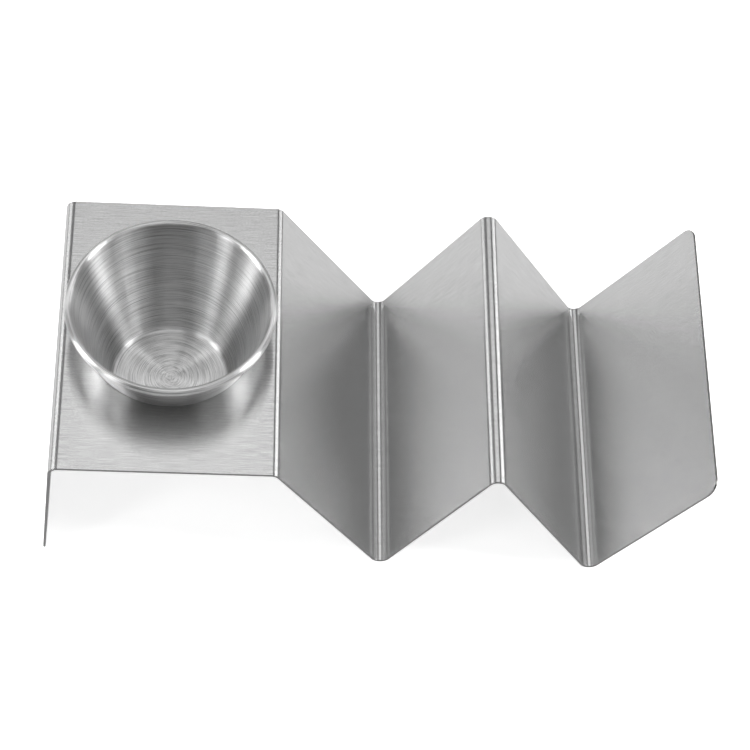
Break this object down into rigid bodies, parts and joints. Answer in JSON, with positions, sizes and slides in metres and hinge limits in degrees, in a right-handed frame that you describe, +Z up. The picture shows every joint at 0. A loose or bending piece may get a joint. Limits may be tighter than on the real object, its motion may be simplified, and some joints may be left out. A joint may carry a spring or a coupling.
{
  "type": "pancake rack",
  "caption": "Folded steel strip with a shelf and V-shaped troughs that hold pancakes upright, and a loose sauce cup hanging in the shelf's round hole.",
  "frame": {"origin": "centre of the footprint, on the table", "axes": "+X along the strip from the leg to the free end, +Y across the strip, +Z up"},
  "size_m": [0.2062, 0.1, 0.0673],
  "materials": {
    "rack_steel": "hairline brushed along the strip",
    "cup_steel": "spun, with fine concentric rings"
  },
  "bodies": {
    "root": {"folded_rack": "rack_steel", "sauce_cup": "cup_steel"}
  },
  "joints": []
}
